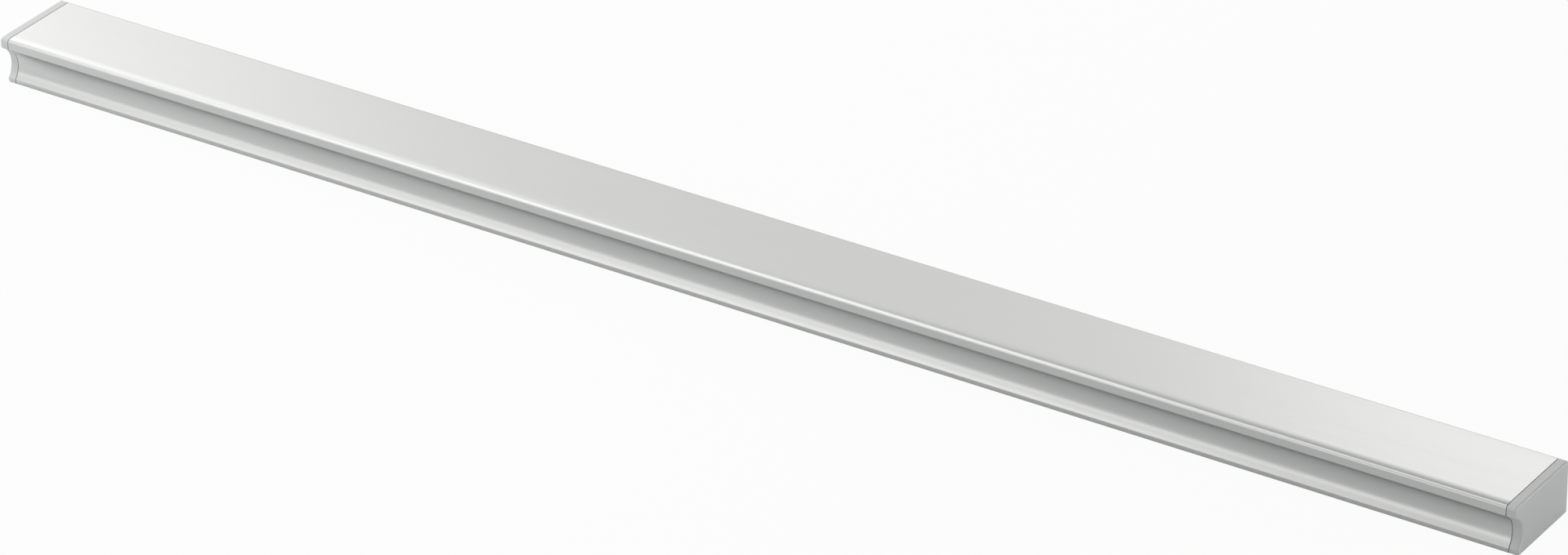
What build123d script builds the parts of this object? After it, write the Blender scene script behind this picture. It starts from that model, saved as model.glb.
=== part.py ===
from build123d import *
from math import radians, sin, sqrt
import os

# Overall size
overall_length = 395.0
section_width = 22.6
section_height = 12.4

# Lip along the top front edge, which crowns gently before its rounded corner
crown_setback = 2.3
crown_slope = 9.0
lip_corner_radius = 0.8
lip_edge_radius = 0.6

# Finger groove, an arc whose depth is measured from the front of the lip
groove_radius = 5.4
groove_depth = 3.1
groove_centre_height = 4.9

# Foot below the groove, and the two corners of the flat back
foot_setback = 1.75
foot_edge_radius = 0.6
back_edge_radius = 0.6

# Walls around the closed chamber of the extrusion
top_wall = 2.0
base_wall = 3.0
back_wall = 2.0
front_wall = 2.0
chamber_corner_radius = 0.8

# End caps: a flange flush with the section, set off by a fine shadow line at the joint
cap_thickness = 2.4
cap_edge_radius = 0.5
joint_width = 0.2
joint_depth = 0.35

# Hollow plug behind each flange, which fits the chamber
plug_length = 8.0
plug_clearance = 0.15
plug_wall = 1.4
plug_lead_in = 0.4

# Two M4 threads in the base, modelled at their core diameter
hole_spacing = 320.0
thread_core_diameter = 3.3
hole_setback = 11.3

# Places that follow from the sizes; Y runs from the lip to the flat back, Z up from the underside
front_y = -section_width / 2
back_y = section_width / 2
joint_x = overall_length / 2 - cap_thickness
crown_turn = sin(radians(crown_slope))
crown_radius = (crown_setback - lip_corner_radius * (1 - crown_turn)) / crown_turn
foot_y = front_y + foot_setback
groove_y = front_y + groove_depth
groove_centre_y = groove_y - groove_radius
front_wall_radius = groove_radius + front_wall
chamber_back_y = back_y - back_wall
ceiling = section_height - top_wall
tolerance = 1e-6


def arc_rise(radius, y):
    """Height above the groove's centre at which an arc about that centre passes y."""
    return sqrt(radius**2 - (y - groove_centre_y) ** 2)


def arc_y(radius, z):
    """Place behind the groove's centre at which an arc about that centre passes z."""
    return groove_centre_y + sqrt(radius**2 - (z - groove_centre_height) ** 2)


# Outline of the section, shared by the profile and the flanges of the caps
with BuildSketch() as section:
    lip_bottom = (front_y, groove_centre_height + arc_rise(groove_radius, front_y))
    foot_top = (foot_y, groove_centre_height - arc_rise(groove_radius, foot_y))
    with BuildLine():
        crown = JernArc((front_y + crown_setback, section_height), (-1, 0), crown_radius, crown_slope)
        corner = JernArc(crown @ 1, crown % 1, lip_corner_radius, 90 - crown_slope)
        Line(corner @ 1, lip_bottom)
        ThreePointArc(lip_bottom, (groove_y, groove_centre_height), foot_top)
        Polyline(foot_top, (foot_y, 0), (back_y, 0), (back_y, section_height), crown @ 0)
    make_face()
    fillet(section.vertices().group_by(Axis.X)[-1], back_edge_radius)
    fillet(section.vertices().group_by(Axis.X)[0].sort_by(Axis.Y)[0], lip_edge_radius)
    foot_corners = section.vertices().filter_by_position(Axis.X, foot_y - tolerance, foot_y + tolerance)
    fillet(foot_corners, foot_edge_radius)

# Outline of the chamber, whose front wall follows the groove
with BuildSketch() as chamber:
    front_top = (arc_y(front_wall_radius, ceiling), ceiling)
    front_bottom = (arc_y(front_wall_radius, base_wall), base_wall)
    with BuildLine():
        ThreePointArc(front_top, (groove_y + front_wall, groove_centre_height), front_bottom)
        Polyline(front_bottom, (chamber_back_y, base_wall), (chamber_back_y, ceiling), front_top)
    make_face()
    fillet(chamber.vertices(), chamber_corner_radius)

# Extruded profile, cut square between the caps, with its two threaded holes
with BuildPart() as grip_profile:
    with BuildSketch(Plane.YZ):
        add(section.sketch)
        add(chamber.sketch, mode=Mode.SUBTRACT)
    extrude(amount=joint_x, both=True)
    with Locations((0, back_y - hole_setback, base_wall)):
        with GridLocations(hole_spacing, 0, 2, 1):
            Hole(thread_core_diameter / 2, depth=base_wall)
grip_profile.part.label = "grip_profile"

os.makedirs("parts", exist_ok=True)
export_step(grip_profile.part, "parts/grip_profile.step")

# End caps, built outwards from the joint: neck of the shadow line, flange with a rounded rim, plug
for name, side in (("end_cap_left", -1), ("end_cap_right", 1)):
    joint_plane = Plane.YZ.offset(side * joint_x)
    flange_plane = Plane.YZ.offset(side * (joint_x + joint_width))
    outward = Axis((0, 0, 0), (side, 0, 0))
    with BuildPart() as end_cap:
        with BuildSketch(flange_plane):
            add(section.sketch)
        extrude(amount=side * (cap_thickness - joint_width))
        fillet(end_cap.faces().sort_by(outward)[-1].edges(), cap_edge_radius)
        with BuildSketch(joint_plane):
            add(section.sketch)
            offset(amount=-joint_depth, mode=Mode.REPLACE)
        extrude(amount=side * joint_width)
        with BuildSketch(joint_plane):
            add(chamber.sketch)
            offset(amount=-plug_clearance, mode=Mode.REPLACE)
            offset(amount=-plug_wall, mode=Mode.SUBTRACT)
        extrude(amount=-side * plug_length)
        chamfer(end_cap.faces().sort_by(outward)[0].outer_wire().edges(), plug_lead_in)
    end_cap.part.label = name
    export_step(end_cap.part, f"parts/{name}.step")
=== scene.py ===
from math import cos, pi, radians, sin

import bmesh
import bpy
from bpy.props import FloatProperty, FloatVectorProperty, PointerProperty
from bpy.types import Operator, Panel, PropertyGroup
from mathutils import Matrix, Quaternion, Vector

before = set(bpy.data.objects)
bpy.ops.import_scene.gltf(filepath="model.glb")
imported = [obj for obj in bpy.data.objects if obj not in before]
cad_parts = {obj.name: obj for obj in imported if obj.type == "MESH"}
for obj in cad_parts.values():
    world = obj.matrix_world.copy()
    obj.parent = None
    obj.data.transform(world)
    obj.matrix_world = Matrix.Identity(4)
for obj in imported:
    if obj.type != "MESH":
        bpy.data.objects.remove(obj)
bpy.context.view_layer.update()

bl_info = {
    "name": "Profile Pull Handle",
    "version": (1, 0, 0),
    "blender": (4, 5, 0),
    "location": "View3D > Sidebar > Pull Handle",
    "description": "Finishes and stage for an extruded pull handle with two end caps",
    "category": "Object",
}

CAPS = ("end_cap_left", "end_cap_right")

# Band that holds most of a noise's values
NOISE_LOW, NOISE_HIGH = 0.3, 0.7

# Stage: lengths in metres, the sensor's width in millimetres
FLOOR_REACH = 3.0
FLOOR_ROUGHNESS = 0.9
NEAR_CLIP = 0.01
SENSOR_WIDTH = 36.0
WHITE = (1.0, 1.0, 1.0, 1.0)


class HandleAluminium(PropertyGroup):
    """Finish of the extruded profile, etched and anodised in silver."""

    colour: FloatVectorProperty(
        name="Colour",
        description="Silver of the anodised face",
        subtype="COLOR",
        min=0.0,
        max=1.0,
        default=(0.79, 0.793, 0.783),
    )
    edge_tint: FloatProperty(
        name="Edge tint",
        description="Share of the gloss that the metal keeps at a flat viewing angle",
        subtype="FACTOR",
        min=0.0,
        max=1.0,
        default=0.8,
    )
    drift: FloatProperty(
        name="Tone drift",
        description="How much darker the slow streaks along the length are",
        subtype="FACTOR",
        min=0.0,
        max=0.2,
        default=0.015,
    )
    streak_width: FloatProperty(
        name="Streak width",
        description="Width of the slow streaks",
        unit="LENGTH",
        min=0.001,
        max=0.05,
        default=0.006,
    )
    streak_length: FloatProperty(
        name="Streak length",
        description="Length of the slow streaks",
        unit="LENGTH",
        min=0.01,
        max=1.0,
        default=0.12,
    )
    roughness: FloatProperty(
        name="Roughness",
        description="Mean roughness of the satin face",
        subtype="FACTOR",
        min=0.05,
        max=1.0,
        default=0.30,
    )
    roughness_spread: FloatProperty(
        name="Roughness spread",
        description="How far the die lines raise or lower the roughness",
        subtype="FACTOR",
        min=0.0,
        max=0.2,
        default=0.015,
    )
    line_pitch: FloatProperty(
        name="Die line pitch",
        description="Spacing of the fine lines that the die leaves along the length",
        unit="LENGTH",
        min=0.00005,
        max=0.002,
        default=0.00025,
    )
    line_length: FloatProperty(
        name="Die line length",
        description="Length over which a die line fades in and out",
        unit="LENGTH",
        min=0.01,
        max=1.0,
        default=0.12,
    )
    line_relief: FloatProperty(
        name="Die line relief",
        description="How strongly the die lines catch the light",
        subtype="FACTOR",
        min=0.0,
        max=1.0,
        default=0.02,
    )
    grain_size: FloatProperty(
        name="Grain size",
        description="Size of the matt grain that the etching leaves",
        unit="LENGTH",
        min=0.00005,
        max=0.002,
        default=0.00018,
    )
    grain_relief: FloatProperty(
        name="Grain relief",
        description="How strongly the matt grain catches the light",
        subtype="FACTOR",
        min=0.0,
        max=1.0,
        default=0.04,
    )
    relief_depth: FloatProperty(
        name="Relief depth",
        description="Depth of the die lines and the grain at full relief",
        unit="LENGTH",
        min=0.0,
        max=0.001,
        default=0.00001,
    )


class HandlePlastic(PropertyGroup):
    """Finish of the two moulded end caps."""

    colour: FloatVectorProperty(
        name="Colour",
        description="Light grey of the moulded plastic",
        subtype="COLOR",
        min=0.0,
        max=1.0,
        default=(0.76, 0.766, 0.764),
    )
    flake: FloatProperty(
        name="Silver pigment",
        description="Share of silver flake in the grey of the plastic",
        subtype="FACTOR",
        min=0.0,
        max=1.0,
        default=0.35,
    )
    drift: FloatProperty(
        name="Tone drift",
        description="How much darker the slow clouds in the plastic are",
        subtype="FACTOR",
        min=0.0,
        max=0.2,
        default=0.03,
    )
    cloud_size: FloatProperty(
        name="Cloud size",
        description="Size of the slow clouds",
        unit="LENGTH",
        min=0.001,
        max=0.05,
        default=0.004,
    )
    roughness: FloatProperty(
        name="Roughness",
        description="Mean roughness of the moulded face",
        subtype="FACTOR",
        min=0.05,
        max=1.0,
        default=0.5,
    )
    roughness_spread: FloatProperty(
        name="Roughness spread",
        description="How far the moulded grain raises or lowers the roughness",
        subtype="FACTOR",
        min=0.0,
        max=0.2,
        default=0.05,
    )
    grain_size: FloatProperty(
        name="Grain size",
        description="Size of the fine grain left by the mould",
        unit="LENGTH",
        min=0.00005,
        max=0.002,
        default=0.0003,
    )
    grain_relief: FloatProperty(
        name="Grain relief",
        description="How strongly the fine grain catches the light",
        subtype="FACTOR",
        min=0.0,
        max=1.0,
        default=0.2,
    )
    relief_depth: FloatProperty(
        name="Relief depth",
        description="Depth of the grain at full relief",
        unit="LENGTH",
        min=0.0,
        max=0.001,
        default=0.00002,
    )


class HandleStage(PropertyGroup):
    """Camera, floor and even light; the lamps are placed by their own functions."""

    camera_place: FloatVectorProperty(
        name="Camera place",
        description="Where the camera stands",
        subtype="TRANSLATION",
        default=(0.76126, -1.10172, 0.75247),
    )
    azimuth: FloatProperty(
        name="Azimuth",
        description="How far the view turns from square on to the lip",
        subtype="ANGLE",
        default=radians(34.2319),
    )
    elevation: FloatProperty(
        name="Elevation",
        description="How far the view looks down",
        subtype="ANGLE",
        default=radians(29.2678),
    )
    roll: FloatProperty(
        name="Roll",
        description="How far the camera leans to the right",
        subtype="ANGLE",
        default=radians(1.1507),
    )
    lens: FloatProperty(
        name="Lens",
        description="Focal length on a sensor 36 mm wide",
        unit="CAMERA",
        default=161.59,
    )
    floor_colour: FloatVectorProperty(
        name="Floor",
        description="Colour of the floor",
        subtype="COLOR",
        min=0.0,
        max=1.0,
        default=(0.82, 0.84, 0.84),
    )
    floor_white: FloatProperty(
        name="Floor white",
        description="Share of plain white in the floor that the camera sees",
        subtype="FACTOR",
        min=0.0,
        max=1.0,
        default=0.94,
    )
    floor_gloss: FloatProperty(
        name="Floor in gloss",
        description="Share of plain white in the floor that the metal mirrors",
        subtype="FACTOR",
        min=0.0,
        max=1.0,
        default=0.05,
    )
    ambient: FloatProperty(
        name="Ambient",
        description="Strength of the even light from all round",
        min=0.0,
        max=2.0,
        default=0.13,
    )


class PullHandle(PropertyGroup):
    """All the settings of the handle and its stage."""

    aluminium: PointerProperty(
        name="Aluminium",
        description="Finish of the extruded profile",
        type=HandleAluminium,
    )
    plastic: PointerProperty(
        name="Plastic",
        description="Finish of the two end caps",
        type=HandlePlastic,
    )
    stage: PointerProperty(
        name="Stage",
        description="Camera, floor and even light",
        type=HandleStage,
    )


def add_noise(tree, size, length=None, detail=2.0):
    """Noise on Object coordinates with features of that size, and of that length along X if given."""
    place = tree.nodes.new("ShaderNodeTexCoord")
    mapping = tree.nodes.new("ShaderNodeMapping")
    mapping.inputs["Scale"].default_value = (1 / (length or size), 1 / size, 1 / size)
    noise = tree.nodes.new("ShaderNodeTexNoise")
    noise.inputs["Scale"].default_value = 1.0
    noise.inputs["Detail"].default_value = detail
    tree.links.new(place.outputs["Object"], mapping.inputs["Vector"])
    tree.links.new(mapping.outputs["Vector"], noise.inputs["Vector"])
    return noise.outputs["Fac"]


def add_range(tree, source, low, high):
    """The middle of a noise, spread over low to high."""
    spread = tree.nodes.new("ShaderNodeMapRange")
    spread.inputs["From Min"].default_value = NOISE_LOW
    spread.inputs["From Max"].default_value = NOISE_HIGH
    spread.inputs["To Min"].default_value = low
    spread.inputs["To Max"].default_value = high
    tree.links.new(source, spread.inputs["Value"])
    return spread.outputs["Result"]


def add_tone(tree, source, finish):
    """The finish's colour, darkened by up to its drift where the noise is low."""
    tone = tree.nodes.new("ShaderNodeMix")
    tone.data_type = "RGBA"
    tone.inputs["A"].default_value = (*[part * (1 - finish.drift) for part in finish.colour], 1)
    tone.inputs["B"].default_value = (*finish.colour, 1)
    tree.links.new(add_range(tree, source, 0.0, 1.0), tone.inputs["Factor"])
    return tone.outputs["Result"]


def add_roughness(tree, source, finish):
    """The finish's roughness, moved by the noise to either side of its mean."""
    low = finish.roughness - finish.roughness_spread
    high = finish.roughness + finish.roughness_spread
    return add_range(tree, source, low, high)


def add_relief(tree, source, strength, depth, under=None):
    """Normals of a fine relief of that depth, laid over those under it."""
    bump = tree.nodes.new("ShaderNodeBump")
    bump.inputs["Strength"].default_value = strength
    bump.inputs["Distance"].default_value = depth
    tree.links.new(source, bump.inputs["Height"])
    if under:
        tree.links.new(under, bump.inputs["Normal"])
    return bump.outputs["Normal"]


def new_material(name):
    """A new node material, with its tree and its shader."""
    material = bpy.data.materials.new(name)
    material.use_nodes = True
    return material, material.node_tree, material.node_tree.nodes["Principled BSDF"]


def satin_aluminium(finish):
    """Etched and anodised aluminium with die lines along its length."""
    material, tree, shader = new_material("satin_aluminium")
    lines = add_noise(tree, finish.line_pitch, finish.line_length)
    grain = add_noise(tree, finish.grain_size, detail=1.0)
    streaks = add_noise(tree, finish.streak_width, finish.streak_length)
    relief = add_relief(tree, lines, finish.line_relief, finish.relief_depth)
    relief = add_relief(tree, grain, finish.grain_relief, finish.relief_depth, relief)
    shader.inputs["Metallic"].default_value = 1.0
    shader.inputs["Specular Tint"].default_value = (*[finish.edge_tint] * 3, 1.0)
    tree.links.new(add_tone(tree, streaks, finish), shader.inputs["Base Color"])
    tree.links.new(add_roughness(tree, lines, finish), shader.inputs["Roughness"])
    tree.links.new(relief, shader.inputs["Normal"])
    return material


def moulded_plastic(finish):
    """Light grey plastic with some silver pigment and the fine grain of a spark-finished mould."""
    material, tree, shader = new_material("grey_plastic")
    grain = add_noise(tree, finish.grain_size, detail=3.0)
    clouds = add_noise(tree, finish.cloud_size)
    relief = add_relief(tree, grain, finish.grain_relief, finish.relief_depth)
    shader.inputs["Metallic"].default_value = finish.flake
    tree.links.new(add_tone(tree, clouds, finish), shader.inputs["Base Color"])
    tree.links.new(add_roughness(tree, grain, finish), shader.inputs["Roughness"])
    tree.links.new(relief, shader.inputs["Normal"])
    return material


def dress(node, material):
    """Gives a CAD node its finish as its only material."""
    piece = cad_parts[node]
    piece.data.materials.clear()
    piece.data.materials.append(material)


def add_camera(stage):
    """Long lens that looks down on the lip from the right."""
    camera = bpy.data.cameras.new("camera")
    camera.sensor_width = SENSOR_WIDTH
    camera.lens = stage.lens
    camera.clip_start = NEAR_CLIP
    level = cos(stage.elevation)
    ahead = Vector((-sin(stage.azimuth) * level, cos(stage.azimuth) * level, -sin(stage.elevation)))
    holder = bpy.data.objects.new("camera", camera)
    holder.location = stage.camera_place
    holder.rotation_mode = "QUATERNION"
    holder.rotation_quaternion = ahead.to_track_quat("-Z", "Y") @ Quaternion((0, 0, 1), -stage.roll)
    bpy.context.scene.collection.objects.link(holder)
    bpy.context.scene.camera = holder


def pale_floor(stage):
    """Pale floor that the camera sees nearly white, and that keeps the handle's shadow."""
    material, tree, shader = new_material("pale_floor")
    shader.inputs["Base Color"].default_value = (*stage.floor_colour, 1)
    shader.inputs["Roughness"].default_value = FLOOR_ROUGHNESS
    shader.inputs["Specular IOR Level"].default_value = 0.0
    path = tree.nodes.new("ShaderNodeLightPath")
    seen = tree.nodes.new("ShaderNodeMath")
    seen.operation = "MULTIPLY"
    seen.inputs[1].default_value = stage.floor_white
    gloss = tree.nodes.new("ShaderNodeMath")
    gloss.operation = "MAXIMUM"
    mirrored = tree.nodes.new("ShaderNodeMath")
    mirrored.operation = "MULTIPLY_ADD"
    mirrored.inputs[1].default_value = stage.floor_gloss
    white = tree.nodes.new("ShaderNodeEmission")
    blend = tree.nodes.new("ShaderNodeMixShader")
    tree.links.new(path.outputs["Is Camera Ray"], seen.inputs[0])
    tree.links.new(path.outputs["Is Glossy Ray"], gloss.inputs[0])
    tree.links.new(path.outputs["Is Transmission Ray"], gloss.inputs[1])
    tree.links.new(gloss.outputs["Value"], mirrored.inputs[0])
    tree.links.new(seen.outputs["Value"], mirrored.inputs[2])
    tree.links.new(mirrored.outputs["Value"], blend.inputs["Fac"])
    tree.links.new(shader.outputs["BSDF"], blend.inputs[1])
    tree.links.new(white.outputs["Emission"], blend.inputs[2])
    tree.links.new(blend.outputs["Shader"], tree.nodes["Material Output"].inputs["Surface"])
    return material


def add_floor(stage):
    """Level floor under the handle."""
    mesh = bpy.data.meshes.new("floor")
    work = bmesh.new()
    bmesh.ops.create_grid(work, x_segments=1, y_segments=1, size=FLOOR_REACH)
    work.to_mesh(mesh)
    work.free()
    mesh.materials.append(pale_floor(stage))
    floor = bpy.data.objects.new("floor", mesh)
    bpy.context.scene.collection.objects.link(floor)


def add_surroundings(stage):
    """Even light from all round, behind which the camera sees white."""
    world = bpy.data.worlds.new("surroundings")
    world.use_nodes = True
    tree = world.node_tree
    light = tree.nodes["Background"]
    light.inputs["Color"].default_value = WHITE
    path = tree.nodes.new("ShaderNodeLightPath")
    level = tree.nodes.new("ShaderNodeMapRange")
    level.inputs["To Min"].default_value = stage.ambient
    level.inputs["To Max"].default_value = 1.0
    tree.links.new(path.outputs["Is Camera Ray"], level.inputs["Value"])
    tree.links.new(level.outputs["Result"], light.inputs["Strength"])
    bpy.context.scene.world = world


def add_softbox(name, towards, distance, size, radiance, aim=0.0):
    """Soft lamp of that width and height, aimed at a place on the handle's length.

    towards is its azimuth, turned from the back to the left end, and its elevation, in degrees.
    """
    turn, tilt = (radians(angle) for angle in towards)
    width, height = size
    away = Vector((-sin(turn) * cos(tilt), cos(turn) * cos(tilt), sin(tilt)))
    lamp = bpy.data.lights.new(name, "AREA")
    lamp.shape = "RECTANGLE"
    lamp.size = width
    lamp.size_y = height
    lamp.energy = radiance * pi * width * height
    holder = bpy.data.objects.new(name, lamp)
    holder.location = Vector((aim, 0.0, 0.0)) + away * distance
    holder.rotation_euler = away.to_track_quat("Z", "Y").to_euler()
    bpy.context.scene.collection.objects.link(holder)


def add_back_lamps():
    """Lamps behind the handle, which its flat top mirrors."""
    add_softbox("back_panel", towards=(34, 30), distance=1.0, size=(1.1, 0.54), radiance=0.72)
    add_softbox("back_right_box", towards=(6, 32), distance=0.9, size=(0.4, 0.25), radiance=0.7)
    add_softbox("back_left_box", towards=(57, 24), distance=0.9, size=(0.35, 0.35), radiance=0.25)
    add_softbox("back_strip", towards=(10, 10), distance=1.1, size=(1.2, 0.3), radiance=0.2)
    add_softbox("back_left_strip", towards=(60, 10), distance=1.1, size=(0.8, 0.3), radiance=0.4)
    add_softbox("high_left_box", towards=(64, 48), distance=0.9, size=(0.45, 0.4), radiance=0.6)


def add_front_lamps():
    """Lamps above and in front of the handle, which its lip and groove mirror."""
    add_softbox("ceiling", towards=(180, 86), distance=0.95, size=(1.4, 0.9), radiance=0.75, aim=-0.15)
    add_softbox("key_box", towards=(112, 46), distance=0.6, size=(0.5, 0.35), radiance=0.3, aim=-0.14)
    add_softbox("near_key_box", towards=(180, 55), distance=0.36, size=(0.38, 0.32), radiance=0.6, aim=-0.23)
    add_softbox("front_left_wall", towards=(152, 25), distance=1.0, size=(0.9, 0.8), radiance=0.55)
    add_softbox("front_low_box", towards=(153, 11), distance=1.0, size=(0.9, 0.3), radiance=0.4)
    add_softbox("front_right_wall", towards=(212, 25), distance=1.1, size=(1.0, 0.6), radiance=0.25)


def add_end_lamps():
    """Lamps off the two ends of the handle, which light its caps."""
    add_softbox("left_wall", towards=(88, 18), distance=0.8, size=(1.0, 0.5), radiance=0.6)
    add_softbox("left_card", towards=(92, 10), distance=0.33, size=(0.4, 0.12), radiance=1.2, aim=-0.19)
    add_softbox("back_right_wall", towards=(318, 26), distance=1.1, size=(0.9, 0.5), radiance=0.25)
    add_softbox("right_wall", towards=(284, 9), distance=0.75, size=(1.1, 0.28), radiance=1.8, aim=0.1)


class HANDLE_OT_finish_profile(Operator):
    """Give the extruded profile its satin aluminium"""

    bl_idname = "handle.finish_profile"
    bl_label = "Finish Profile"

    def execute(self, context):
        dress("grip_profile", satin_aluminium(context.scene.pull_handle.aluminium))
        return {"FINISHED"}


class HANDLE_OT_finish_caps(Operator):
    """Give the two end caps their moulded grey plastic"""

    bl_idname = "handle.finish_caps"
    bl_label = "Finish End Caps"

    def execute(self, context):
        plastic = moulded_plastic(context.scene.pull_handle.plastic)
        for cap in CAPS:
            dress(cap, plastic)
        return {"FINISHED"}


class HANDLE_OT_set_stage(Operator):
    """Put the handle on a pale floor under soft studio light"""

    bl_idname = "handle.set_stage"
    bl_label = "Set Stage"

    def execute(self, context):
        stage = context.scene.pull_handle.stage
        context.scene.view_settings.view_transform = "Standard"
        add_camera(stage)
        add_floor(stage)
        add_surroundings(stage)
        add_back_lamps()
        add_front_lamps()
        add_end_lamps()
        return {"FINISHED"}


class HANDLE_PT_panel(Panel):
    """Finishes and stage of the pull handle"""

    bl_idname = "HANDLE_PT_panel"
    bl_label = "Pull Handle"
    bl_space_type = "VIEW_3D"
    bl_region_type = "UI"
    bl_category = "Pull Handle"

    def draw(self, context):
        handle = context.scene.pull_handle
        for operator, group in (
            ("handle.finish_profile", handle.aluminium),
            ("handle.finish_caps", handle.plastic),
            ("handle.set_stage", handle.stage),
        ):
            column = self.layout.column()
            for name in group.__annotations__:
                column.prop(group, name)
            column.operator(operator)


CLASSES = (
    HandleAluminium,
    HandlePlastic,
    HandleStage,
    PullHandle,
    HANDLE_OT_finish_profile,
    HANDLE_OT_finish_caps,
    HANDLE_OT_set_stage,
    HANDLE_PT_panel,
)


def register():
    for cls in CLASSES:
        bpy.utils.register_class(cls)
    bpy.types.Scene.pull_handle = PointerProperty(
        name="Pull Handle",
        description="Settings of the handle and its stage",
        type=PullHandle,
    )


def unregister():
    del bpy.types.Scene.pull_handle
    for cls in reversed(CLASSES):
        bpy.utils.unregister_class(cls)


def main():
    register()
    bpy.ops.handle.finish_profile()
    bpy.ops.handle.finish_caps()
    bpy.ops.handle.set_stage()


if __name__ == "__main__":
    main()
